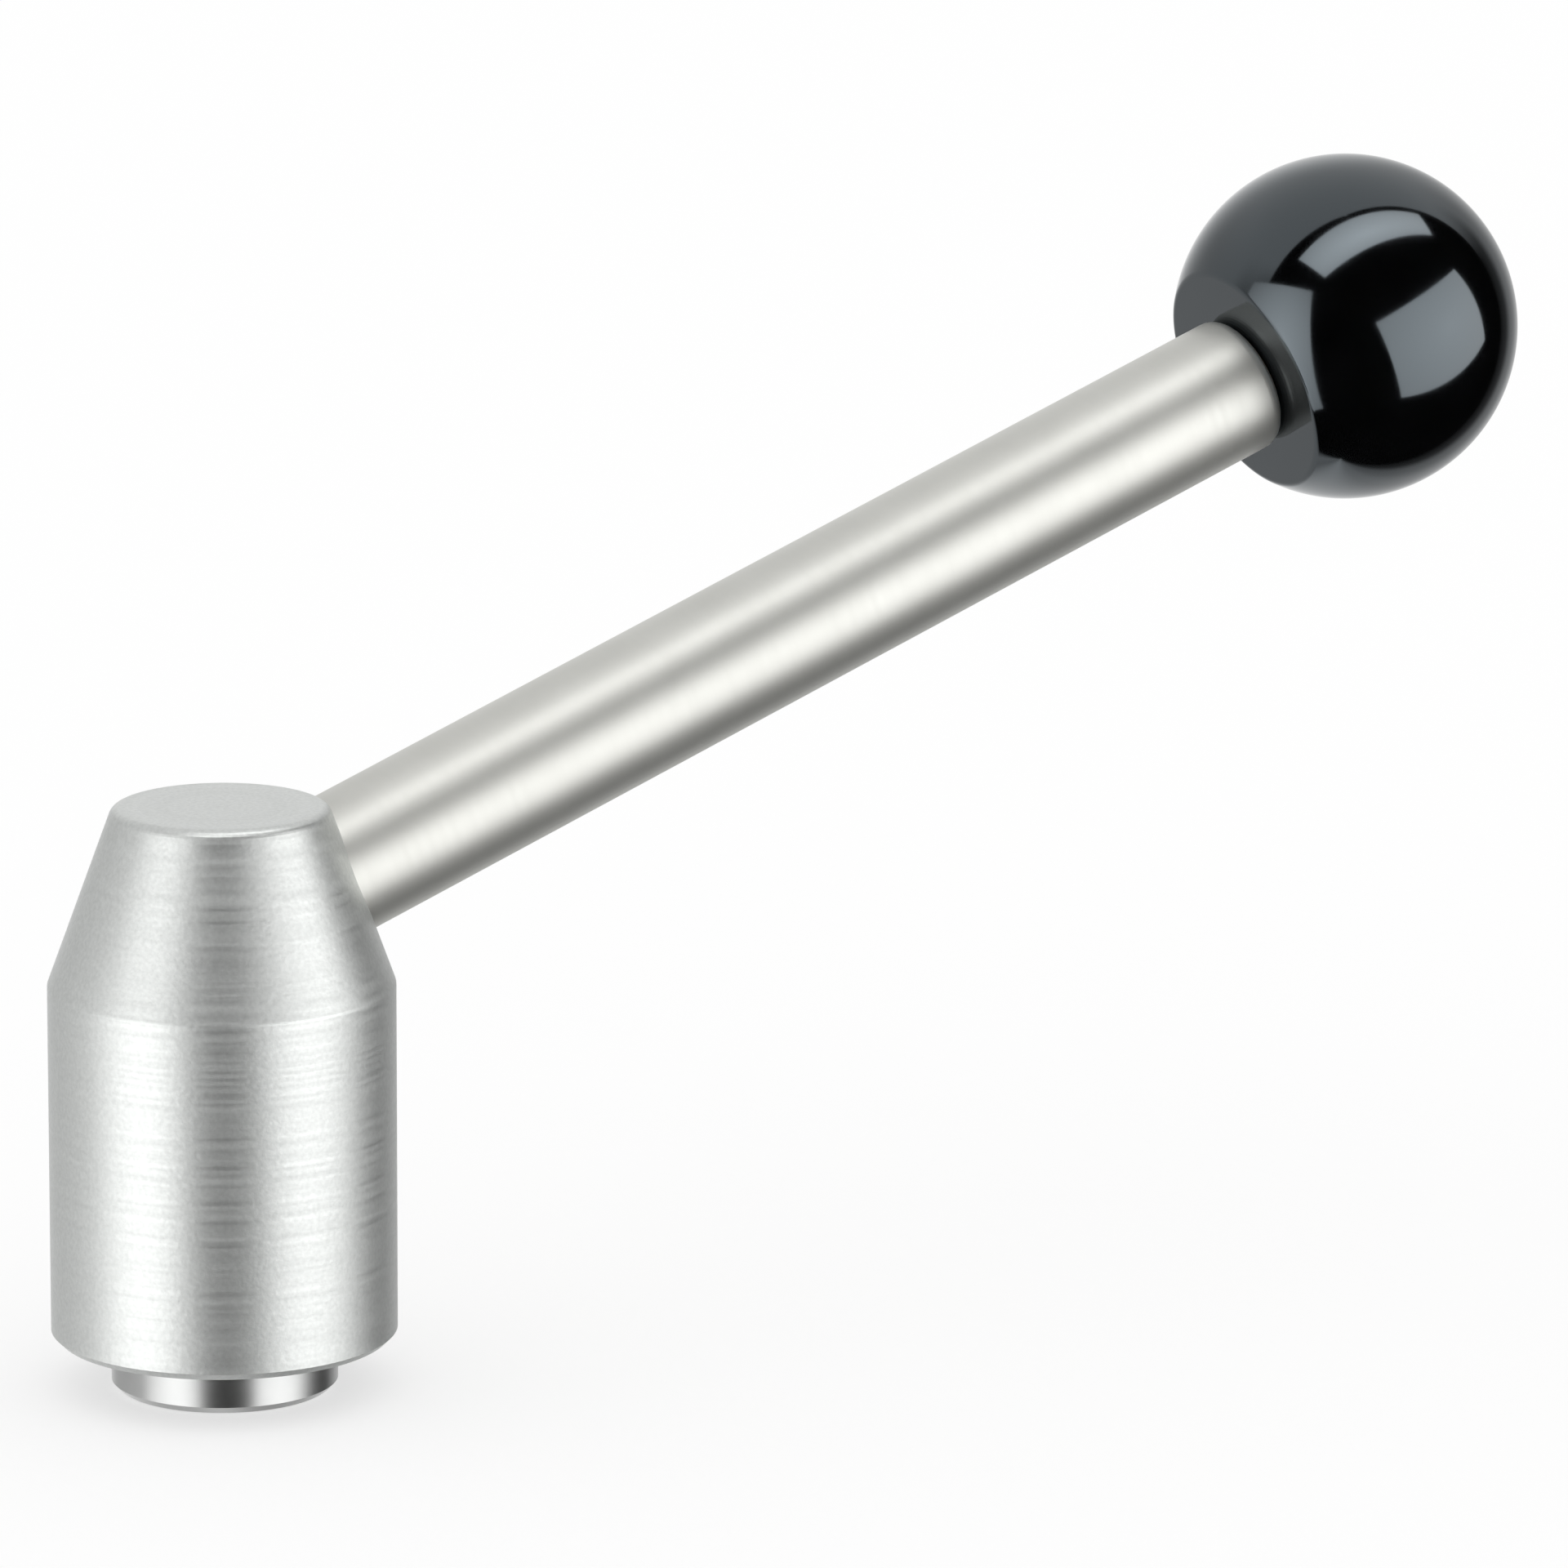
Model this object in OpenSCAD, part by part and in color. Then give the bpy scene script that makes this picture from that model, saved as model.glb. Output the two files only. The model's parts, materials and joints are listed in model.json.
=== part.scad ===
// Adjustable clamping lever with a female thread.
// A turned hub carries a rod and a ball knob, and drives a threaded insert through a serration.
// A spring keeps the serration in mesh. Lifting the lever frees it, so that the lever can be
// turned to a handier place without turning the insert.
// Millimetres. The origin is the centre of the insert's foot, +Z runs up the hub's axis and the
// lever points along +X.

/* [Hub] */
// Outside diameter of the hub
hub_d = 24; // [22.5:0.5:30]
// Height of the hub's straight part
hub_straight_h = 25; // [23:0.5:35]
// Height of the hub's conical part
hub_cone_h = 12.5; // [11:0.5:16]
// Radius on the hub's top edge
hub_top_round = 0.8; // [0.3:0.1:2]
// Radius where the straight part meets the cone
hub_waist_round = 0.6; // [0.3:0.1:1.5]
// Chamfer on the hub's lower outside edge
hub_foot_chamfer = 0.5; // [0.2:0.1:1]

/* [Lever] */
// Rise of the rod above the horizontal, and the cone's half angle that the rod stands square on
lever_angle = 20; // [10:1:25]
// Distance along the rod from the hub's axis to the knob's centre
lever_reach = 98; // [70:1:140]
// Diameter of the rod
rod_d = 10; // [9:0.5:12]
// Distance along the cone from the rod's upper side to the hub's top edge
rod_margin = 0.55; // [0.3:0.05:1.5]
// Depth of the rod's seat below the cone
rod_seat_depth = 3; // [2.5:0.1:4]
// Diameter of the threaded end that holds the rod in the hub
rod_stub_d = 8; // [6:0.5:8.5]
// Length of the threaded end in the hub
rod_stub_len = 8; // [6:0.5:9]
// Chamfer on the rod's edges
rod_chamfer = 0.4; // [0.2:0.1:0.8]
// Radius on the rod's edge at the knob
rod_end_round = 1; // [0.5:0.1:1.2]

/* [Knob] */
// Diameter of the ball knob
knob_d = 25; // [22:0.5:32]
// Diameter of the flat on the ball where the rod enters
knob_flat_d = 16.8; // [14:0.2:18]
// Width of the broken edge round the flat
knob_edge = 0.3; // [0.2:0.1:1]
// Diameter of the threaded end that holds the knob
knob_stub_d = 6; // [5:0.5:7]
// Length of the threaded end in the knob
knob_stub_len = 11; // [8:0.5:14]
// Outside diameter of the bush moulded into the knob
bush_d = 8.5; // [8.5:0.5:11]

/* [Threaded insert] */
// Nominal diameter of the clamping thread
thread_d = 10; // [8:1:12]
// Pitch of the clamping thread
thread_pitch = 1.5; // [1:0.25:1.75]
// Depth of the clamping thread
thread_depth = 15; // [10:0.5:18]
// Diameter of the insert's stem
stem_d = 15.7; // [14.5:0.1:17]
// Distance that the insert stands out below the hub
insert_stand = 3.6; // [2:0.1:6]
// Chamfer on the insert's lower edge
stem_chamfer = 0.5; // [0.2:0.1:1]

/* [Serration] */
// Number of teeth
tooth_count = 24; // [16:1:36]
// Depth of a tooth
tooth_depth = 1; // [0.6:0.1:1.2]
// Length of the teeth in mesh
mesh_h = 3.4; // [2.5:0.1:4]
// Length of the insert's teeth below the mesh
crown_over = 1.1; // [0.6:0.1:2]
// Lift left over once the teeth are free
lift_spare = 0.6; // [0.3:0.1:1]
// Radial clearance between the two sets of teeth
tooth_gap = 0.12; // [0.08:0.01:0.2]

/* [Spring] */
// Diameter of the spring wire
wire_d = 1.1; // [0.8:0.1:1.4]
// Number of turns, with one closed turn at each end
spring_turns = 5.5; // [4.5:0.5:7]
// Height left between the turns when the lever is fully lifted
spring_reserve = 1.45; // [0.5:0.05:3]

/* [Retainer] */
// Thickness of the washer under the spring
washer_t = 1; // [0.6:0.1:1.5]
// Thickness of the snap ring
ring_t = 1; // [0.8:0.1:1.5]
// Radial width of the snap ring
ring_w = 1.5; // [1.3:0.1:1.8]
// Opening between the snap ring's ends
ring_opening = 4; // [2:0.5:8]
// Height of the snap ring's groove above the hub's foot
groove_up = 1.2; // [0.8:0.1:2]
// Depth of the snap ring's groove
groove_depth = 0.7; // [0.4:0.1:0.9]

/* [Hidden] */
$fn = 96;

// Clearances
screw_fit = 0.05;     // radial, round the rod and its two threaded ends
spring_gap = 0.25;    // radial, from the stem to the spring
bore_gap = 0.5;       // radial, from the spring to the hub's bore
crown_gap = 0.2;      // radial, from the tips of the insert's teeth to the hub's bore
washer_gap = 0.15;    // radial, from the washer to the stem and to the bore
ring_play = 0.1;      // between the snap ring and its groove
spigot_gap = 0.2;     // radial, from the spigot to the insert's tooth roots

// Small features that need no setting
mouth_chamfer = 0.4;  // on the mouth of the hub's bore
thread_lead = 0.2;    // how far the thread's countersink is wider than the thread
tooth_lead = 0.5;     // bevel that leads the teeth into mesh
spigot_h = 1;         // spigot that carries the hub, above the insert's teeth
tip_share = 0.2;      // share of the pitch that is flat at a tooth's tip, and at its root
drill_angle = 59;     // half angle of a drill's point
hole_spare = 1.5;     // depth of a tapped hole past the thread in it
undercut_w = 1.2;     // groove where a thread on the rod runs out at its shoulder
undercut_depth = 0.6;
bush_end = 1.2;       // solid end of the bush, past the point of its hole
bush_groove_w = 3;    // groove that keys the bush in its moulding
bush_groove_depth = 0.6;
closed_pitch = 1.04;  // pitch of a closed turn, in wire diameters
ground_rise = 0.3;    // height of the wire's centre over a ground end, in wire diameters
wire_sides = 8;
turn_steps = 20;
arc_step = 12;        // angle between the points of a rounded edge

// Levels, from the insert's foot upwards
hub_foot_z = insert_stand;
groove_z = hub_foot_z + groove_up;
washer_z = groove_z + ring_t;
spring_z = washer_z + washer_t;
lift = mesh_h + lift_spare;
spring_h = spring_turns * wire_d + lift + spring_reserve;
crown_z = spring_z + spring_h;
mesh_z = crown_z + crown_over;
crown_h = crown_over + mesh_h;
crown_top_z = crown_z + crown_h;
bore_end_z = crown_top_z + spigot_h;
cone_z = hub_foot_z + hub_straight_h;
hub_top_z = cone_z + hub_cone_h;

// Diameters, from the stem outwards
spring_mean_d = stem_d + 2 * spring_gap + wire_d;
bore_d = spring_mean_d + wire_d + 2 * bore_gap;
crown_tip_d = bore_d - 2 * crown_gap;
crown_root_d = crown_tip_d - 2 * tooth_depth;
spigot_d = crown_root_d - 2 * spigot_gap;
groove_d = bore_d + 2 * groove_depth;
thread_core_d = thread_d - thread_pitch;

// Rod, measured along its axis from the point where it crosses the hub's axis
hub_top_r = hub_d / 2 - hub_cone_h * tan(lever_angle);
rod_rise = hub_cone_h - (rod_d / 2 + rod_margin) * cos(lever_angle);
rod_cone_r = hub_d / 2 - rod_rise * tan(lever_angle);
rod_cross_z = cone_z + rod_rise - rod_cone_r * tan(lever_angle);
rod_seat_t = rod_cone_r / cos(lever_angle) - rod_seat_depth;
rod_start_t = rod_seat_t - rod_stub_len;
knob_flat_rise = sqrt(pow(knob_d, 2) - pow(knob_flat_d, 2)) / 2;
knob_flat_t = lever_reach - knob_flat_rise;
rod_end_t = knob_flat_t + knob_stub_len;
bush_hole_d = knob_stub_d + 2 * screw_fit;
bush_hole_depth = knob_stub_len + hole_spare;
bush_len = bush_hole_depth + point_h(bush_hole_d) + bush_end;

// Height of a drill's point
function point_h(d) = d / 2 / tan(drill_angle);

// Points on an arc from angle a0 to a1
function arc(centre, r, a0, a1) =
    let (steps = ceil((a1 - a0) / arc_step))
    [for (i = [0:steps]) let (a = a0 + (a1 - a0) * i / steps) centre + r * [cos(a), sin(a)]];

// Stands its children along the rod, whose axis becomes their +Z
module along_rod() {
    translate([0, 0, rod_cross_z]) rotate([0, 90 - lever_angle, 0]) children();
}

// Drilled hole with a pointed end, from z = 0 upwards
module drilled_hole(d, depth) {
    cylinder(d = d, h = depth);
    translate([0, 0, depth]) cylinder(d1 = d, d2 = 0, h = point_h(d));
}

// Outline of a serration with straight flanks
module serration(tip_d, root_d) {
    pitch = 360 / tooth_count;
    flat = pitch * tip_share / 2;
    polygon([
        for (i = [0:tooth_count - 1], side = [[tip_d, -flat], [tip_d, flat], [root_d, pitch / 2 - flat],
                                              [root_d, pitch / 2 + flat]])
            let (a = i * pitch + side[1]) side[0] / 2 * [cos(a), sin(a)]
    ]);
}

// Turned outside of the hub
module hub_blank() {
    waist = [hub_d / 2 - hub_waist_round,
             cone_z - hub_waist_round * (1 - cos(lever_angle)) / sin(lever_angle)];
    brow = [hub_top_r - hub_top_round * (1 - sin(lever_angle)) / cos(lever_angle),
            hub_top_z - hub_top_round];
    rotate_extrude() polygon(concat(
        [[0, hub_foot_z], [hub_d / 2 - hub_foot_chamfer, hub_foot_z],
         [hub_d / 2, hub_foot_z + hub_foot_chamfer]],
        arc(waist, hub_waist_round, 0, lever_angle),
        arc(brow, hub_top_round, lever_angle, 90),
        [[0, hub_top_z]]
    ));
}

// Everything that is cut into the hub from below, with its inside teeth left standing
module hub_bore() {
    mouth_d = bore_d + 2 * mouth_chamfer;
    inner_tip_d = crown_root_d + 2 * tooth_gap;
    translate([0, 0, hub_foot_z - mouth_chamfer])
        cylinder(d1 = mouth_d + 2 * mouth_chamfer, d2 = bore_d, h = 2 * mouth_chamfer);
    translate([0, 0, hub_foot_z - mouth_chamfer])
        cylinder(d = bore_d, h = mesh_z - hub_foot_z + mouth_chamfer);
    translate([0, 0, groove_z]) cylinder(d = groove_d, h = ring_t + ring_play);
    translate([0, 0, mesh_z - tooth_lead])
        cylinder(d1 = inner_tip_d + 4 * tooth_lead, d2 = inner_tip_d - 2 * tooth_lead, h = 3 * tooth_lead);
    translate([0, 0, spring_z]) linear_extrude(crown_top_z + spigot_h / 2 - spring_z)
        serration(crown_tip_d + 2 * tooth_gap, inner_tip_d);
    translate([0, 0, crown_top_z]) cylinder(d = bore_d, h = spigot_h);
}

// Seat and tapped hole for the rod, square to the cone
module rod_socket() {
    along_rod() {
        translate([0, 0, rod_seat_t]) cylinder(d = rod_d + 2 * screw_fit, h = hub_d);
        translate([0, 0, rod_seat_t]) rotate([180, 0, 0])
            drilled_hole(rod_stub_d + 2 * screw_fit, rod_stub_len + hole_spare);
    }
}

module hub() {
    color([0.74, 0.75, 0.75]) difference() {
        hub_blank();
        hub_bore();
        rod_socket();
    }
}

module lever_rod() {
    stub_r = rod_stub_d / 2;
    tip_r = knob_stub_d / 2;
    stub_neck_t = rod_seat_t - undercut_w;
    tip_neck_t = knob_flat_t + undercut_w;
    end_round = [rod_d / 2 - rod_end_round, knob_flat_t - rod_end_round];
    color([0.80, 0.79, 0.76]) along_rod() rotate_extrude() polygon(concat(
        [[0, rod_start_t],
         [stub_r - rod_chamfer, rod_start_t],
         [stub_r, rod_start_t + rod_chamfer],
         [stub_r, stub_neck_t - undercut_depth],
         [stub_r - undercut_depth, stub_neck_t],
         [stub_r - undercut_depth, rod_seat_t],
         [rod_d / 2 - rod_chamfer, rod_seat_t],
         [rod_d / 2, rod_seat_t + rod_chamfer]],
        arc(end_round, rod_end_round, 0, 90),
        [[tip_r - undercut_depth, knob_flat_t],
         [tip_r - undercut_depth, tip_neck_t],
         [tip_r, tip_neck_t + undercut_depth],
         [tip_r, rod_end_t - rod_chamfer],
         [tip_r - rod_chamfer, rod_end_t],
         [0, rod_end_t]]
    ));
}

// Outside of the knob's bush, from the knob's flat inwards, with the groove that keys it
module bush_blank() {
    groove_t = (bush_len - bush_groove_w) / 2;
    groove_r = bush_d / 2 - bush_groove_depth;
    rotate_extrude() polygon([
        [0, 0],
        [bush_d / 2, 0],
        [bush_d / 2, groove_t],
        [groove_r, groove_t],
        [groove_r, groove_t + bush_groove_w],
        [bush_d / 2, groove_t + bush_groove_w],
        [bush_d / 2, bush_len],
        [0, bush_len]
    ]);
}

// Ball with a flat for the rod, moulded round its bush
module ball_knob() {
    edge_angle = asin(knob_flat_d / knob_d) / 2;
    flat_r = knob_flat_d / 2 - knob_edge;
    color([0.03, 0.03, 0.035]) along_rod() difference() {
        intersection() {
            translate([0, 0, lever_reach]) sphere(d = knob_d);
            translate([0, 0, knob_flat_t])
                cylinder(r1 = flat_r, r2 = flat_r + knob_d / tan(edge_angle), h = knob_d);
        }
        translate([0, 0, knob_flat_t]) bush_blank();
    }
}

module knob_bush() {
    color([0.72, 0.58, 0.28]) along_rod() translate([0, 0, knob_flat_t]) difference() {
        bush_blank();
        drilled_hole(bush_hole_d, bush_hole_depth);
    }
}

// Insert with its clamping thread at the foot and its teeth at the top
module threaded_insert() {
    mouth_d = thread_d + 2 * thread_lead;
    tooth_tip_r = crown_tip_d / 2;
    color([0.84, 0.84, 0.83]) difference() {
        union() {
            rotate_extrude() polygon([
                [0, 0],
                [stem_d / 2 - stem_chamfer, 0],
                [stem_d / 2, stem_chamfer],
                [stem_d / 2, crown_z + crown_h / 2],
                [spigot_d / 2, crown_z + crown_h / 2],
                [spigot_d / 2, bore_end_z],
                [0, bore_end_z]
            ]);
            intersection() {
                translate([0, 0, crown_z]) linear_extrude(crown_h) serration(crown_tip_d, crown_root_d);
                translate([0, 0, crown_z]) cylinder(r1 = tooth_tip_r - tooth_lead + crown_h,
                                                    r2 = tooth_tip_r - tooth_lead, h = crown_h);
            }
        }
        cylinder(d1 = mouth_d, d2 = thread_core_d, h = (mouth_d - thread_core_d) / 2);
        drilled_hole(thread_core_d, thread_depth);
    }
}

// Height of the wire's centre above the spring's foot, u turns from its start
function wire_rise(u) =
    let (closed = closed_pitch * wire_d,
         open = (spring_h - 2 * closed - 2 * ground_rise * wire_d) / (spring_turns - 2))
    ground_rise * wire_d + closed * min(u, 1) + open * min(max(u - 1, 0), spring_turns - 2)
    + closed * max(u - spring_turns + 1, 0);

// Point on the wire's skin, u turns from its start and at angle a round the wire
function wire_point(u, a) =
    let (r = (spring_mean_d + wire_d * cos(a)) / 2,
         z = wire_rise(u) + wire_d / 2 * sin(a))
    [r * cos(360 * u), r * sin(360 * u), spring_z + min(max(z, 0), spring_h)];

// Compression spring with closed and ground ends
module compression_spring() {
    steps = round(spring_turns * turn_steps);
    function at(i, j) = i * wire_sides + j % wire_sides;
    points = [for (i = [0:steps], j = [0:wire_sides - 1])
        wire_point(spring_turns * i / steps, 360 * (j + 0.5) / wire_sides)];
    skin = [for (i = [0:steps - 1], j = [0:wire_sides - 1])
        each [[at(i, j), at(i, j + 1), at(i + 1, j)],
              [at(i, j + 1), at(i + 1, j + 1), at(i + 1, j)]]];
    first_end = [for (j = [wire_sides - 1:-1:0]) at(0, j)];
    last_end = [for (j = [0:wire_sides - 1]) at(steps, j)];
    color([0.55, 0.55, 0.56]) polyhedron(points, concat(skin, [first_end, last_end]));
}

// Flat ring standing at height z
module flat_ring(z, outer_d, inner_d, t) {
    translate([0, 0, z]) difference() {
        cylinder(d = outer_d, h = t);
        translate([0, 0, -t]) cylinder(d = inner_d, h = 3 * t);
    }
}

// Washer that carries the spring and rests on the snap ring
module seat_washer() {
    color([0.68, 0.68, 0.69])
        flat_ring(washer_z, bore_d - 2 * washer_gap, stem_d + 2 * washer_gap, washer_t);
}

// Open snap ring in the hub's groove
module snap_ring() {
    outer_d = groove_d - ring_play;
    color([0.30, 0.30, 0.31]) difference() {
        flat_ring(groove_z, outer_d, outer_d - 2 * ring_w, ring_t);
        translate([-outer_d, -ring_opening / 2, groove_z - ring_t])
            cube([outer_d, ring_opening, 3 * ring_t]);
    }
}

hub();
lever_rod();
ball_knob();
knob_bush();
threaded_insert();
compression_spring();
seat_washer();
snap_ring();
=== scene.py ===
"""Adjustable clamping lever: its finishes, its clamping thread and a plain studio.

Lengths are written in millimetres and turned into metres where a mesh is made. Angles are in degrees.
"""
import json
import math

import bmesh
import bpy
from mathutils import Matrix, Vector


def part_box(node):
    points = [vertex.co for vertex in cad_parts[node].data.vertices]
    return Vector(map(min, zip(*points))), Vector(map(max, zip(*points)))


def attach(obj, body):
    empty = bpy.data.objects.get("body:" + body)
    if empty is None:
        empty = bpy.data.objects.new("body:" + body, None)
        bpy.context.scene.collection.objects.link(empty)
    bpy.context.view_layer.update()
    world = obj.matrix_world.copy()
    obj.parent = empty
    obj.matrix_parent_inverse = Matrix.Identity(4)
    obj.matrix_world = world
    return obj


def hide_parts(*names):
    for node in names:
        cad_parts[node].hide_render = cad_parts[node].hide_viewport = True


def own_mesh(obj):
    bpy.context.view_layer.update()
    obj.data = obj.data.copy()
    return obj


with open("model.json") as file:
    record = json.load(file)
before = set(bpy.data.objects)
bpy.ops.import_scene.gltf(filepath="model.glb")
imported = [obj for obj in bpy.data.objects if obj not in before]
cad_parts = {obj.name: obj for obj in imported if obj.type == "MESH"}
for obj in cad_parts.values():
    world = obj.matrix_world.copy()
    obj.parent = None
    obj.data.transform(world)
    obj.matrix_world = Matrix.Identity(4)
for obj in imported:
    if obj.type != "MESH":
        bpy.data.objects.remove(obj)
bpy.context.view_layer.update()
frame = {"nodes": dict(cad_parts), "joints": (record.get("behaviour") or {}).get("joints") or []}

MM = 0.001
SHARP_ANGLE = 30
WELD_DISTANCE = 0.0001
STALE_NORMALS = "custom_normal"

# Rod and knob, measured along the rod from the point where it crosses the hub's axis. The knob is a hair
# smaller than its solid, so that its facets stay within the solid's box.
LEVER_ANGLE = 20
ROD_CROSS_Z = 32.482
KNOB_REACH = 98
KNOB_R = 12.495
KNOB_FLAT_R = 8.4
KNOB_EDGE_R = 0.7
KNOB_SIDES = 160
KNOB_STEPS = 72
EDGE_STEPS = 8

# Bush moulded into the knob
BUSH_R = 4.25
BUSH_LEN = 15.53
BUSH_GROOVE_W = 3
BUSH_GROOVE_DEPTH = 0.6

# Clamping thread in the insert
THREAD_R = 5
THREAD_PITCH = 1.5
THREAD_TOP = 14.2
THREAD_LEAD_TURNS = 1.5
THREAD_STEPS = 64
THREAD_ROOT_SHARE = 1 / 8
THREAD_FLANK_ANGLE = 30
THREAD_CUTTER_R = 4
THREAD_RUN_OUT = 0.5
THREAD_RUN_OUT_RISE = 1.1

# Compression spring, which stands on the washer and pushes up against the insert's teeth
WIRE_D = 1.1
SPRING_MEAN_R = 8.65
SPRING_TURNS = 5.5
CLOSED_PITCH = 1.04
GROUND_RISE = 0.3
WIRE_SIDES = 20
WIRE_STEPS = 64
SPRING_SEAT_GAP = 0.02
SPRING_JOINT = "lift"

# Most of a noise pattern's values lie between these two
NOISE_LOW = 0.3
NOISE_HIGH = 0.7

# Share of its colour that turned metal keeps where it is darkest
TURNED_SHADE = 0.94

# Camera, matched to the photograph's outline
CAMERA_AT = (-312.594, -598.093, 201.673)
CAMERA_PITCH = 13.264
CAMERA_YAW = -30.871
CAMERA_ROLL = 0.285
CAMERA_LENS = 232.27
SENSOR_WIDTH = 36

# Studio, in metres. A direction is an azimuth from the camera's side of the object, positive towards
# the camera's right, and an elevation above the horizon. A softbox has its brightness at its hot spot and
# at its rim, the hot spot's place across and down it, and the directions of its corners. Two screens stand
# behind the softboxes. The front one is dark. The back one takes the rest of the circle, and has its
# brightness at a few azimuths and one level high up.
STUDIO_CENTRE = (0.03, 0, 0.035)
FLOOR_SPAN = 40
FLOOR_GAP = 0.0001
FLOOR_COLOUR = (0.995, 0.995, 0.995)
SHADOW_SOFTENING = 0.6
CARD_DISTANCE = 3
CARD_STEPS = 12
SCREEN_DISTANCE = 4
SCREEN_STEP = 5
SCREEN_TOP = 89.5
SOFTBOXES = {
    "left_softbox": (2.5, 0.9, (0.62, 0.45), ((-77, 28), (-28, 33), (-19, -46), (-88, -39))),
    "right_softbox": (2.45, 1.75, (0.6, 0.45), ((19, 13), (93, 28), (104, -7), (43, -36))),
    "top_softbox": (3.3, 1.9, (0.6, 0.5), ((-51, 51), (-20, 43), (102, 45), (119, 51))),
}
SOFTBOX_FADE = 0.75
FRONT_SCREEN = (-65, 124)
FRONT_LEVEL = 0.004
BACK_LEVELS = ((124, 0.03), (131, 0.08), (143, 0.45), (160, 0.68), (185, 1.05), (225, 0.56), (262, 0.66), (278, 0.4),
               (295, 0.004))
BACK_TOP_LEVEL = 0.75
BACK_TOP_FROM = 14
BACK_TOP_FULL = 44


class Finish:
    """A procedural material on a Principled shader, with its patterns placed in millimetres on the object."""

    def __init__(self, name, colour, metallic, roughness):
        self.material = bpy.data.materials.new(name)
        self.material.use_nodes = True
        self.tree = self.material.node_tree
        self.shader = self.tree.nodes["Principled BSDF"]
        self.shader.inputs["Base Color"].default_value = (*colour, 1)
        self.shader.inputs["Metallic"].default_value = metallic
        self.shader.inputs["Roughness"].default_value = roughness
        place = self.node("ShaderNodeTexCoord").outputs["Object"]
        self.place = self.scaled(place, 1 / MM)

    def node(self, kind, **settings):
        made = self.tree.nodes.new(kind)
        for name, value in settings.items():
            setattr(made, name, value)
        return made

    def link(self, output, socket):
        self.tree.links.new(output, socket)

    def scaled(self, vector, factor):
        """A vector times a factor."""
        scale = self.node("ShaderNodeVectorMath", operation="SCALE")
        scale.inputs["Scale"].default_value = factor
        self.link(vector, scale.inputs[0])
        return scale.outputs[0]

    def turn_to(self, cross_z, tilt):
        """Places the patterns about an axis that leaves the hub's axis at cross_z, tilted from it."""
        mapping = self.node("ShaderNodeMapping", vector_type="TEXTURE")
        mapping.inputs["Location"].default_value = (0, 0, cross_z)
        mapping.inputs["Rotation"].default_value = (0, math.radians(tilt), 0)
        self.link(self.place, mapping.inputs["Vector"])
        self.place = mapping.outputs[0]

    def lathe_place(self):
        """Radius and height about the axis, so that a pattern on them runs in rings as turning marks do."""
        split = self.node("ShaderNodeSeparateXYZ")
        self.link(self.place, split.inputs[0])
        across = self.node("ShaderNodeCombineXYZ")
        self.link(split.outputs["X"], across.inputs["X"])
        self.link(split.outputs["Y"], across.inputs["Y"])
        radius = self.node("ShaderNodeVectorMath", operation="LENGTH")
        self.link(across.outputs[0], radius.inputs[0])
        joined = self.node("ShaderNodeCombineXYZ")
        self.link(radius.outputs["Value"], joined.inputs["X"])
        self.link(split.outputs["Z"], joined.inputs["Y"])
        return joined.outputs[0]

    def noise(self, size, detail=2, place=None):
        """Noise whose grains are about size across."""
        made = self.node("ShaderNodeTexNoise")
        made.inputs["Scale"].default_value = 1 / size
        made.inputs["Detail"].default_value = detail
        self.link(place or self.place, made.inputs["Vector"])
        return made.outputs["Fac"]

    def spread(self, pattern, low, high):
        """A noise pattern's middle range spread from low to high."""
        made = self.node("ShaderNodeMapRange")
        made.inputs["From Min"].default_value = NOISE_LOW
        made.inputs["From Max"].default_value = NOISE_HIGH
        made.inputs["To Min"].default_value = low
        made.inputs["To Max"].default_value = high
        self.link(pattern, made.inputs["Value"])
        return made.outputs["Result"]

    def roughen(self, pattern, low, high):
        self.link(self.spread(pattern, low, high), self.shader.inputs["Roughness"])

    def tint(self, pattern, dark, light):
        """Base colour that follows a pattern from dark to light."""
        ramp = self.node("ShaderNodeValToRGB")
        ramp.color_ramp.elements[0].position = NOISE_LOW
        ramp.color_ramp.elements[0].color = (*dark, 1)
        ramp.color_ramp.elements[1].position = NOISE_HIGH
        ramp.color_ramp.elements[1].color = (*light, 1)
        self.link(pattern, ramp.inputs["Fac"])
        self.link(ramp.outputs["Color"], self.shader.inputs["Base Color"])

    def bump(self, pattern, height):
        """Relief of this height, laid over the relief that the material already has."""
        made = self.node("ShaderNodeBump")
        made.inputs["Distance"].default_value = height * MM
        self.link(pattern, made.inputs["Height"])
        normal = self.shader.inputs["Normal"]
        if normal.is_linked:
            self.link(normal.links[0].from_socket, made.inputs["Normal"])
        self.link(made.outputs["Normal"], normal)


def hub_finish():
    """Bead-blasted steel: a fine even grain over the faint rings that the lathe left."""
    finish = Finish("hub_steel", colour=(0.675, 0.69, 0.677), metallic=1, roughness=0.47)
    finish.tint(finish.noise(size=0.3, detail=2), dark=(0.635, 0.65, 0.637), light=(0.715, 0.73, 0.717))
    rings = finish.noise(size=0.5, detail=3, place=finish.lathe_place())
    finish.roughen(rings, low=0.41, high=0.52)
    finish.bump(rings, height=0.003)
    finish.bump(finish.noise(size=0.36, detail=2), height=0.012)
    return finish.material


def rod_finish():
    """Ground bar: fine rings round its axis, a little warmer than the hub."""
    finish = Finish("rod_steel", colour=(0.65, 0.65, 0.617), metallic=0.9, roughness=0.48)
    finish.turn_to(ROD_CROSS_Z, 90 - LEVER_ANGLE)
    finish.tint(finish.noise(size=5, detail=3), dark=(0.635, 0.635, 0.602), light=(0.665, 0.665, 0.632))
    finish.roughen(finish.noise(size=0.5, detail=3, place=finish.lathe_place()), low=0.46, high=0.5)
    finish.bump(finish.noise(size=0.15, detail=2, place=finish.lathe_place()), height=0.0004)
    return finish.material


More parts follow.
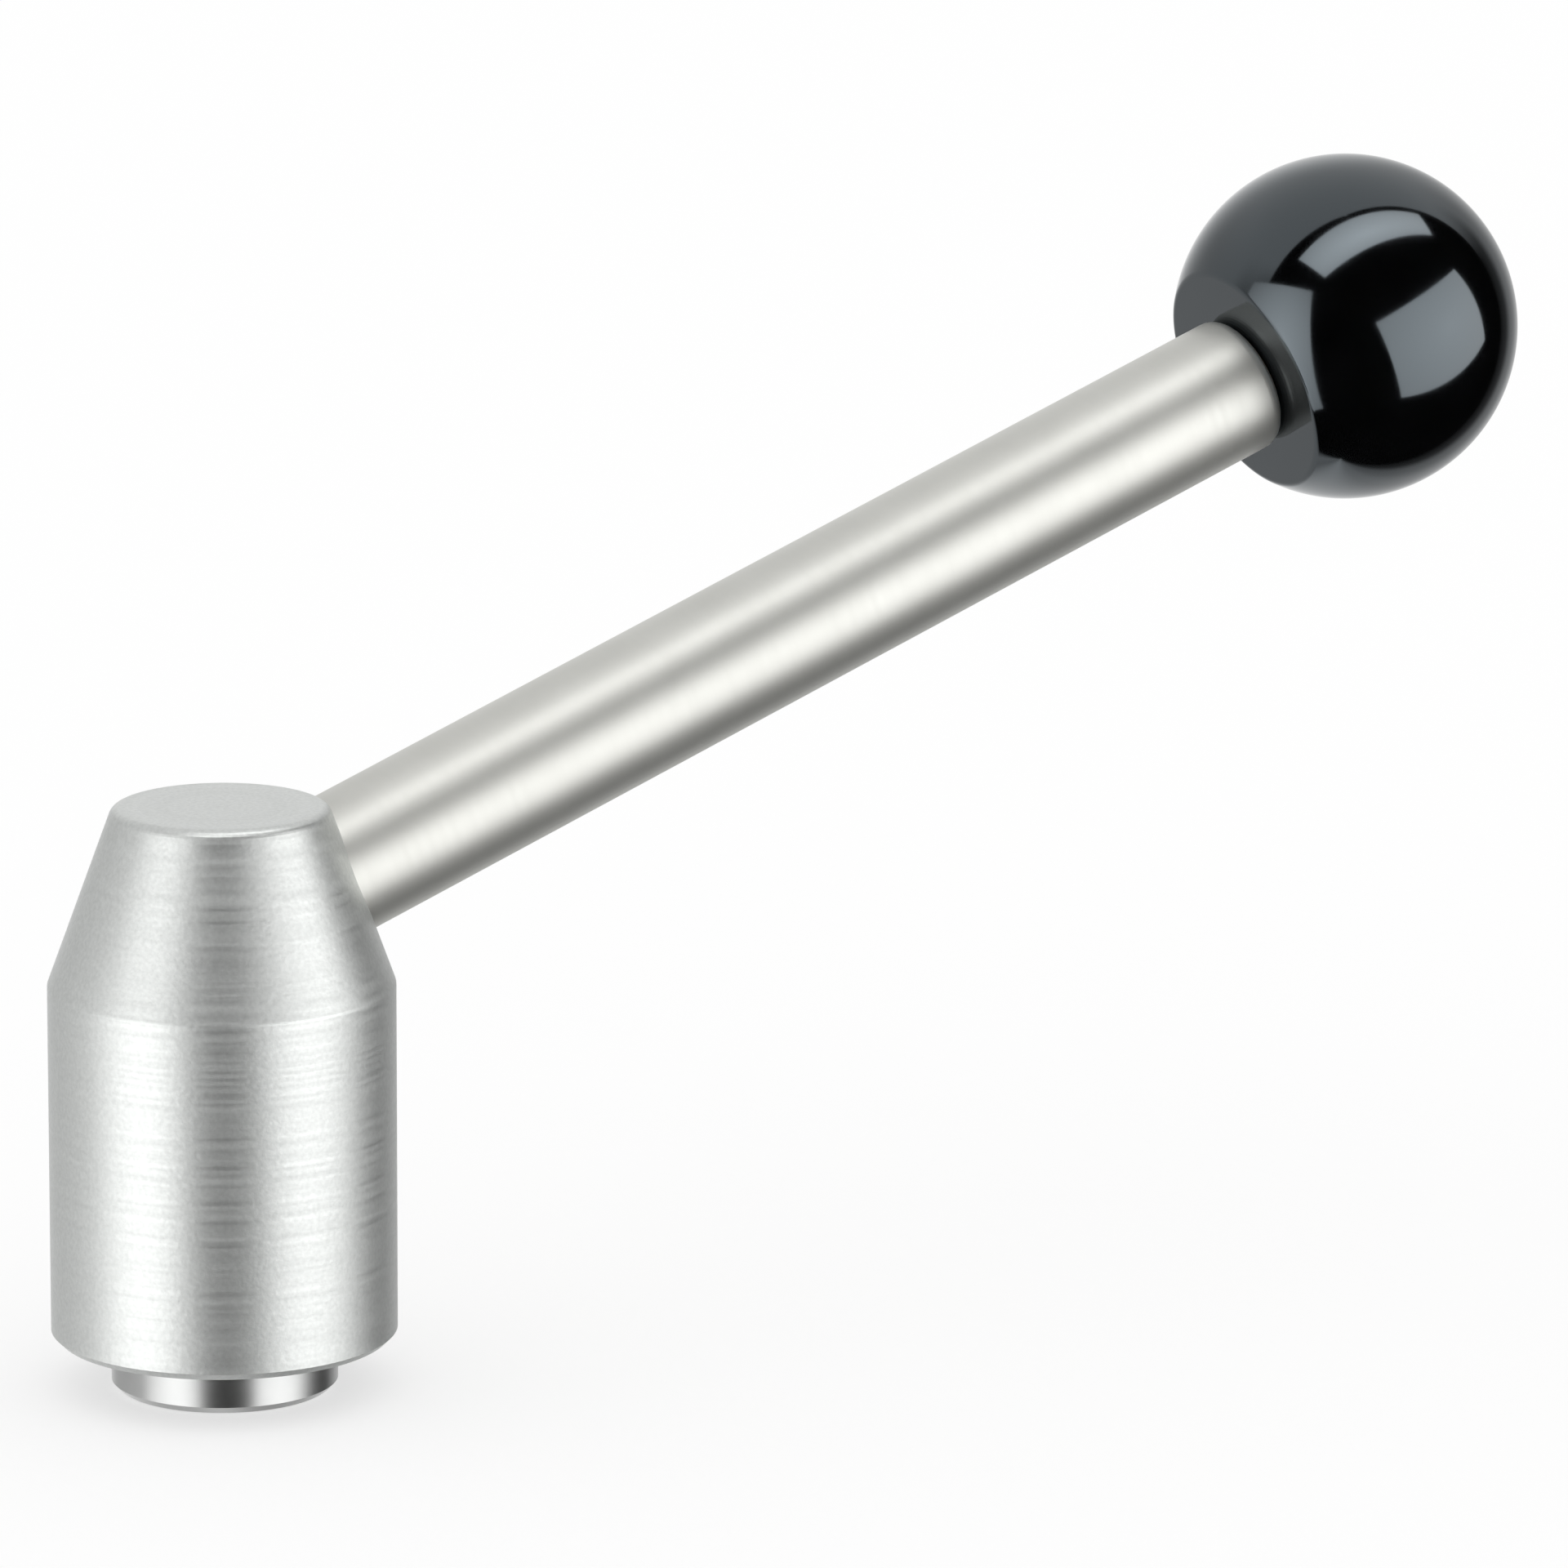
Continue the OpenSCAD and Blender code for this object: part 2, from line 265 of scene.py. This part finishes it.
def knob_finish():
    """Polished black thermoset, with the slight unevenness of a moulding."""
    finish = Finish("black_thermoset", colour=(0.001, 0.001, 0.001), metallic=0, roughness=0.08)
    finish.shader.inputs["IOR"].default_value = 1.6
    finish.shader.inputs["Specular IOR Level"].default_value = 1
    finish.shader.inputs["Specular Tint"].default_value = (0.8, 0.92, 1, 1)
    finish.tint(finish.noise(size=3, detail=2), dark=(0.0006, 0.0006, 0.0007), light=(0.0014, 0.0014, 0.0016))
    finish.roughen(finish.noise(size=4, detail=4), low=0.06, high=0.1)
    finish.bump(finish.noise(size=5, detail=1), height=0.002)
    return finish.material


def turned_finish(name, colour, smooth, rough, pitch, height, tilted=False):
    """Bright turned metal with rings of this pitch and height."""
    finish = Finish(name, colour, metallic=1, roughness=smooth)
    if tilted:
        finish.turn_to(ROD_CROSS_Z, 90 - LEVER_ANGLE)
    rings = finish.noise(size=pitch, detail=2, place=finish.lathe_place())
    dark = [TURNED_SHADE * c for c in colour]
    finish.tint(finish.noise(size=2, detail=3), dark, colour)
    finish.roughen(rings, smooth, rough)
    finish.bump(rings, height)
    return finish.material


def wire_finish():
    """Drawn spring wire, with a thin uneven film of oil."""
    finish = Finish("spring_steel", colour=(0.42, 0.42, 0.43), metallic=1, roughness=0.3)
    finish.tint(finish.noise(size=1.2, detail=4), dark=(0.30, 0.30, 0.31), light=(0.45, 0.45, 0.46))
    finish.roughen(finish.noise(size=0.4, detail=3), low=0.24, high=0.4)
    finish.bump(finish.noise(size=0.12, detail=2), height=0.002)
    return finish.material


def ring_finish():
    """Phosphated steel: a dark crystalline coat."""
    finish = Finish("ring_steel", colour=(0.10, 0.10, 0.105), metallic=0.7, roughness=0.55)
    finish.tint(finish.noise(size=0.5, detail=4), dark=(0.06, 0.06, 0.064), light=(0.13, 0.13, 0.136))
    finish.roughen(finish.noise(size=0.2, detail=3), low=0.48, high=0.66)
    finish.bump(finish.noise(size=0.08, detail=2), height=0.004)
    return finish.material


def new_object(name, bm, material):
    """An object from a bmesh in millimetres, smooth apart from its sharp edges."""
    bmesh.ops.recalc_face_normals(bm, faces=bm.faces)
    mesh = bpy.data.meshes.new(name)
    bm.to_mesh(mesh)
    bm.free()
    mesh.transform(Matrix.Scale(MM, 4))
    mesh.materials.append(material)
    smooth_shade(mesh)
    made = bpy.data.objects.new(name, mesh)
    bpy.context.scene.collection.objects.link(made)
    return made


def smooth_shade(mesh):
    """Smooth shading with sharp edges. Normals kept from an earlier mesh no longer fit and are dropped."""
    if STALE_NORMALS in mesh.attributes:
        mesh.attributes.remove(mesh.attributes[STALE_NORMALS])
    for face in mesh.polygons:
        face.use_smooth = True
    mesh.set_sharp_from_angle(angle=math.radians(SHARP_ANGLE))


def arc(centre, radius, start, end, steps):
    """Points on an arc round centre. The angle runs from the axis outwards."""
    angles = [math.radians(start + (end - start) * i / steps) for i in range(steps + 1)]
    return [(centre[0] + radius * math.cos(a), centre[1] + radius * math.sin(a)) for a in angles]


def lathe(profile, sides):
    """A closed turned form about +Z. The profile's (radius, height) points start and end on the axis."""
    bm = bmesh.new()
    turns = [2 * math.pi * j / sides for j in range(sides)]
    first = bm.verts.new((0, 0, profile[0][1]))
    last = bm.verts.new((0, 0, profile[-1][1]))
    rings = [[bm.verts.new((r * math.cos(a), r * math.sin(a), z)) for a in turns] for r, z in profile[1:-1]]
    for j in range(sides):
        k = (j + 1) % sides
        bm.faces.new((first, rings[0][k], rings[0][j]))
        for low, high in zip(rings, rings[1:]):
            bm.faces.new((low[j], low[k], high[k], high[j]))
        bm.faces.new((rings[-1][j], rings[-1][k], last))
    return bm


def stand_along_rod(bm, along):
    """Turns a form about +Z to the rod's axis, with its origin this far along it."""
    turn = Matrix.Rotation(math.radians(90 - LEVER_ANGLE), 4, "Y")
    place = Matrix.Translation((0, 0, ROD_CROSS_Z)) @ turn @ Matrix.Translation((0, 0, along))
    bm.transform(place)


def knob_profile():
    """Knob from the end of its bush's pocket round to its far pole, with z = 0 at the flat."""
    flat_rise = math.sqrt(KNOB_R ** 2 - KNOB_FLAT_R ** 2)
    groove_low = (BUSH_LEN - BUSH_GROOVE_W) / 2
    groove_high = groove_low + BUSH_GROOVE_W
    groove_r = BUSH_R - BUSH_GROOVE_DEPTH
    pocket = [(0, BUSH_LEN), (BUSH_R, BUSH_LEN), (BUSH_R, groove_high), (groove_r, groove_high),
              (groove_r, groove_low), (BUSH_R, groove_low), (BUSH_R, 0)]
    inner_r = KNOB_R - KNOB_EDGE_R
    edge_rise = flat_rise - KNOB_EDGE_R
    edge_at = (math.sqrt(inner_r ** 2 - edge_rise ** 2), KNOB_EDGE_R)
    edge_angle = -math.degrees(math.asin(edge_rise / inner_r))
    edge = arc(edge_at, KNOB_EDGE_R, -90, edge_angle, EDGE_STEPS)
    ball = arc((0, flat_rise), KNOB_R, edge_angle, 90, KNOB_STEPS)
    return pocket + edge + ball[1:-1] + [(0, flat_rise + KNOB_R)]


def make_knob(material):
    bm = lathe(knob_profile(), KNOB_SIDES)
    stand_along_rod(bm, KNOB_REACH - math.sqrt(KNOB_R ** 2 - KNOB_FLAT_R ** 2))
    knob = new_object("knob", bm, material)
    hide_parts("ball_knob")
    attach(knob, "lever")


def sweep(sections):
    """A closed skin through sections with equal numbers of points."""
    bm = bmesh.new()
    rings = [[bm.verts.new(p) for p in section] for section in sections]
    sides = len(rings[0])
    for low, high in zip(rings, rings[1:]):
        for j in range(sides):
            k = (j + 1) % sides
            bm.faces.new((low[j], low[k], high[k], high[j]))
    bm.faces.new(rings[0])
    bm.faces.new(rings[-1])
    return bm


def thread_section(turns, end_turns):
    """Section of the thread's groove, so many turns up from the start, which is below the foot."""
    left = end_turns - turns
    drop = THREAD_RUN_OUT_RISE * max(0, 1 - left / THREAD_RUN_OUT)
    root = THREAD_PITCH * THREAD_ROOT_SHARE / 2
    wide = root + (THREAD_R - THREAD_CUTTER_R) * math.tan(math.radians(THREAD_FLANK_ANGLE))
    z = THREAD_PITCH * (turns - THREAD_LEAD_TURNS)
    angle = 2 * math.pi * turns
    outline = [(THREAD_CUTTER_R, -wide), (THREAD_R, -root), (THREAD_R, root), (THREAD_CUTTER_R, wide)]
    return [((r - drop) * math.cos(angle), (r - drop) * math.sin(angle), z + dz) for r, dz in outline]


def thread_cutter():
    """Right-hand helical groove that starts below the insert's foot and runs out at the thread's end."""
    end_turns = THREAD_TOP / THREAD_PITCH + THREAD_LEAD_TURNS
    count = round(end_turns * THREAD_STEPS)
    return sweep([thread_section(end_turns * i / count, end_turns) for i in range(count + 1)])


def make_insert(material):
    """The insert with its thread cut: the solid has only the thread's core."""
    bm = bmesh.new()
    bm.from_mesh(frame["nodes"]["threaded_insert"].data)
    bmesh.ops.remove_doubles(bm, verts=bm.verts, dist=WELD_DISTANCE * MM)
    bmesh.ops.scale(bm, vec=(1 / MM, 1 / MM, 1 / MM), verts=bm.verts)
    insert = new_object("insert", bm, material)
    cutter = new_object("thread_cutter", thread_cutter(), material)
    cut = insert.modifiers.new("thread", "BOOLEAN")
    cut.object = cutter
    cut.operation = "DIFFERENCE"
    cut.solver = "EXACT"
    graph = bpy.context.evaluated_depsgraph_get()
    threaded = bpy.data.meshes.new_from_object(insert.evaluated_get(graph))
    insert.modifiers.clear()
    insert.data = threaded
    smooth_shade(threaded)
    bpy.data.objects.remove(cutter)
    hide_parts("threaded_insert")
    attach(insert, "insert")


def spring_section(turns, foot, height):
    """Section of the spring's wire. One turn at each end is closed, and the two ends are ground flat."""
    closed = CLOSED_PITCH * WIRE_D
    pitch = (height - 2 * closed - 2 * GROUND_RISE * WIRE_D) / (SPRING_TURNS - 2)
    rise = GROUND_RISE * WIRE_D + closed * min(turns, 1) + pitch * min(max(turns - 1, 0), SPRING_TURNS - 2)
    rise += closed * max(turns - SPRING_TURNS + 1, 0)
    angle = 2 * math.pi * turns
    points = []
    for j in range(WIRE_SIDES):
        a = 2 * math.pi * (j + 0.5) / WIRE_SIDES
        r = SPRING_MEAN_R + WIRE_D / 2 * math.cos(a)
        z = min(max(rise + WIRE_D / 2 * math.sin(a), 0), height)
        points.append((r * math.cos(angle), r * math.sin(angle), foot + z))
    return points


def make_spring(material):
    """Round wire spring, a hair off its washer."""
    low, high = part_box("compression_spring")
    foot, top = low.z / MM + SPRING_SEAT_GAP, high.z / MM
    count = round(SPRING_TURNS * WIRE_STEPS)
    sections = [spring_section(SPRING_TURNS * i / count, foot, top - foot) for i in range(count + 1)]
    spring = new_object("spring", sweep(sections), material)
    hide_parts("compression_spring")
    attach(spring, "insert")
    lift = next(joint for joint in frame["joints"] if joint["name"] == SPRING_JOINT)
    travel = max(lift["range_m"])
    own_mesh(spring)


def dress(node, material):
    """Gives a CAD node its finish."""
    frame["nodes"][node].material_slots[0].material = material


def make_camera():
    pitch, yaw, roll = (math.radians(a) for a in (CAMERA_PITCH, CAMERA_YAW, CAMERA_ROLL))
    forward = Vector((-math.sin(yaw) * math.cos(pitch), math.cos(yaw) * math.cos(pitch), -math.sin(pitch)))
    level = Vector((math.cos(yaw), math.sin(yaw), 0))
    upright = level.cross(forward)
    right = level * math.cos(roll) + upright * math.sin(roll)
    up = upright * math.cos(roll) - level * math.sin(roll)
    data = bpy.data.cameras.new("camera")
    data.lens = CAMERA_LENS
    data.sensor_width = SENSOR_WIDTH
    data.clip_end = 2 * FLOOR_SPAN
    camera = bpy.data.objects.new("camera", data)
    turn = Matrix((right, up, -forward)).transposed().to_4x4()
    camera.matrix_world = Matrix.Translation(Vector(CAMERA_AT) * MM) @ turn
    bpy.context.scene.collection.objects.link(camera)
    bpy.context.scene.camera = camera


def studio_point(azimuth, elevation, distance):
    """Point in this direction from the studio's centre."""
    turn = math.radians(azimuth + CAMERA_YAW)
    rise = math.radians(elevation)
    flat = math.cos(rise)
    way = Vector((math.sin(turn) * flat, -math.cos(turn) * flat, math.sin(rise)))
    return Vector(STUDIO_CENTRE) + distance * way


def glow(name, radiance):
    """Plain emission, which reflected rays find by themselves."""
    material = bpy.data.materials.new(name)
    material.cycles.emission_sampling = "NONE"
    material.use_nodes = True
    tree = material.node_tree
    tree.nodes.clear()
    light = tree.nodes.new("ShaderNodeEmission")
    light.inputs["Strength"].default_value = radiance
    output = tree.nodes.new("ShaderNodeOutputMaterial")
    tree.links.new(light.outputs[0], output.inputs["Surface"])
    return material


def stage_mesh(name, points, faces, material):
    mesh = bpy.data.meshes.new(name)
    mesh.from_pydata(points, [], faces)
    mesh.materials.append(material)
    made = bpy.data.objects.new(name, mesh)
    bpy.context.scene.collection.objects.link(made)
    return made


def only_in_reflections(card):
    card.visible_camera = False
    card.visible_diffuse = False
    card.visible_transmission = False
    card.visible_shadow = False


def hot_glow(name, hot, rim, spot):
    """Emission that falls from a hot spot to the rim of its card."""
    material = glow(name, hot)
    tree = material.node_tree
    place = tree.nodes.new("ShaderNodeTexCoord")
    centre = tree.nodes.new("ShaderNodeMapping")
    centre.vector_type = "TEXTURE"
    centre.inputs["Location"].default_value = (*spot, 0)
    centre.inputs["Scale"].default_value = (SOFTBOX_FADE, SOFTBOX_FADE, 1)
    fade = tree.nodes.new("ShaderNodeTexGradient")
    fade.gradient_type = "SPHERICAL"
    spread = tree.nodes.new("ShaderNodeMapRange")
    spread.inputs["To Min"].default_value = rim
    spread.inputs["To Max"].default_value = hot
    tree.links.new(place.outputs["UV"], centre.inputs["Vector"])
    tree.links.new(centre.outputs[0], fade.inputs["Vector"])
    tree.links.new(fade.outputs["Fac"], spread.inputs["Value"])
    tree.links.new(spread.outputs["Result"], tree.nodes["Emission"].inputs["Strength"])
    return material


def grid_faces(columns, rows):
    wide = rows + 1
    return [(i * wide + j, (i + 1) * wide + j, (i + 1) * wide + j + 1, i * wide + j + 1)
            for i in range(columns) for j in range(rows)]


def up_screen(elevation):
    """Share of a screen's height at this elevation."""
    return (1 + elevation / SCREEN_TOP) / 2


def level_ramp(tree, levels):
    """A ramp node through levels of (azimuth, brightness), which takes the share from the first to the last."""
    start, end = levels[0][0], levels[-1][0]
    ramp = tree.nodes.new("ShaderNodeValToRGB")
    ramp.color_ramp.interpolation = "EASE"
    elements = ramp.color_ramp.elements
    while len(elements) < len(levels):
        elements.new(1)
    for element, (azimuth, level) in zip(elements, levels):
        element.position = (azimuth - start) / (end - start)
        element.color = (level, level, level, 1)
    return ramp


def back_glow(name):
    """Emission that runs across the back screen through its levels, and settles to one level high up."""
    material = glow(name, 1)
    tree = material.node_tree
    place = tree.nodes.new("ShaderNodeTexCoord")
    split = tree.nodes.new("ShaderNodeSeparateXYZ")
    rise = tree.nodes.new("ShaderNodeMapRange")
    rise.interpolation_type = "SMOOTHSTEP"
    rise.inputs["From Min"].default_value = up_screen(BACK_TOP_FROM)
    rise.inputs["From Max"].default_value = up_screen(BACK_TOP_FULL)
    settle = tree.nodes.new("ShaderNodeMixRGB")
    settle.inputs["Color2"].default_value = (BACK_TOP_LEVEL, BACK_TOP_LEVEL, BACK_TOP_LEVEL, 1)
    ramp = level_ramp(tree, BACK_LEVELS)
    tree.links.new(place.outputs["UV"], split.inputs[0])
    tree.links.new(split.outputs["X"], ramp.inputs["Fac"])
    tree.links.new(split.outputs["Y"], rise.inputs["Value"])
    tree.links.new(rise.outputs["Result"], settle.inputs["Fac"])
    tree.links.new(ramp.outputs["Color"], settle.inputs["Color1"])
    tree.links.new(settle.outputs["Color"], tree.nodes["Emission"].inputs["Color"])
    return material


def make_card(name, columns, rows, point_at, material):
    """A grid that is seen only in reflections. point_at gives the point at a share across and down it."""
    shares = [(i / columns, j / rows) for i in range(columns + 1) for j in range(rows + 1)]
    points = [point_at(*share) for share in shares]
    card = stage_mesh(name, points, grid_faces(columns, rows), material)
    places = card.data.uv_layers.new(name="card")
    for loop in card.data.loops:
        places.data[loop.index].uv = shares[loop.vertex_index]
    only_in_reflections(card)


def make_softbox(name, hot, rim, spot, corners):
    """A flat light."""
    a, b, c, d = (studio_point(*corner, CARD_DISTANCE) for corner in corners)

    def point_at(across, down):
        return a.lerp(b, across).lerp(d.lerp(c, across), down)

    make_card(name, CARD_STEPS, CARD_STEPS, point_at, hot_glow(name, hot, rim, spot))


def make_screen(name, start, end, material):
    """A curved screen behind the softboxes, from far below to far above."""

    def point_at(across, up):
        return studio_point(start + (end - start) * across, SCREEN_TOP * (2 * up - 1), SCREEN_DISTANCE)

    columns = round((end - start) / SCREEN_STEP)
    rows = round(2 * SCREEN_TOP / SCREEN_STEP)
    make_card(name, columns, rows, point_at, material)


def floor_material():
    """White floor with a light shadow. It can be seen through from below, for views of the underside."""
    material = bpy.data.materials.new("floor")
    material.use_nodes = True
    tree = material.node_tree
    tree.nodes.clear()
    white = tree.nodes.new("ShaderNodeBsdfDiffuse")
    white.inputs["Color"].default_value = (*FLOOR_COLOUR, 1)
    lit = tree.nodes.new("ShaderNodeEmission")
    lit.inputs["Color"].default_value = (*FLOOR_COLOUR, 1)
    soften = tree.nodes.new("ShaderNodeMixShader")
    soften.inputs["Fac"].default_value = SHADOW_SOFTENING
    clear = tree.nodes.new("ShaderNodeBsdfTransparent")
    side = tree.nodes.new("ShaderNodeNewGeometry")
    mix = tree.nodes.new("ShaderNodeMixShader")
    output = tree.nodes.new("ShaderNodeOutputMaterial")
    tree.links.new(white.outputs[0], soften.inputs[1])
    tree.links.new(lit.outputs[0], soften.inputs[2])
    tree.links.new(side.outputs["Backfacing"], mix.inputs["Fac"])
    tree.links.new(soften.outputs[0], mix.inputs[1])
    tree.links.new(clear.outputs[0], mix.inputs[2])
    tree.links.new(mix.outputs[0], output.inputs["Surface"])
    return material


def make_floor():
    """Floor just under the insert's foot. Reflections see the screens in its place."""
    half = FLOOR_SPAN / 2
    corners = [(-half, -half, -FLOOR_GAP), (half, -half, -FLOOR_GAP), (half, half, -FLOOR_GAP),
               (-half, half, -FLOOR_GAP)]
    floor = stage_mesh("floor", corners, [(0, 1, 2, 3)], floor_material())
    floor.visible_diffuse = False
    floor.visible_glossy = False
    floor.visible_transmission = False
    floor.visible_shadow = False


def make_world():
    world = bpy.data.worlds.new("studio")
    world.use_nodes = True
    background = world.node_tree.nodes["Background"]
    background.inputs["Color"].default_value = (1, 1, 1, 1)
    background.inputs["Strength"].default_value = 1
    bpy.context.scene.world = world


def make_studio():
    make_world()
    make_floor()
    for name, (hot, rim, spot, corners) in SOFTBOXES.items():
        make_softbox(name, hot, rim, spot, corners)
    make_screen("front_screen", *FRONT_SCREEN, glow("front_screen", FRONT_LEVEL))
    make_screen("back_screen", BACK_LEVELS[0][0], BACK_LEVELS[-1][0], back_glow("back_screen"))
    bpy.context.scene.view_settings.view_transform = "Standard"


def make_object():
    dress("hub", hub_finish())
    dress("lever_rod", rod_finish())
    dress("knob_bush", turned_finish("bush_brass", (0.72, 0.55, 0.25), smooth=0.24, rough=0.34, pitch=0.15,
                                     height=0.002, tilted=True))
    dress("seat_washer", turned_finish("washer_steel", (0.58, 0.59, 0.60), smooth=0.28, rough=0.38, pitch=0.2,
                                       height=0.001))
    dress("snap_ring", ring_finish())
    make_knob(knob_finish())
    make_insert(turned_finish("insert_steel", (0.52, 0.525, 0.52), smooth=0.29, rough=0.33, pitch=0.15,
                              height=0.00012))
    make_spring(wire_finish())


make_object()
make_camera()
make_studio()
bpy.context.view_layer.update()
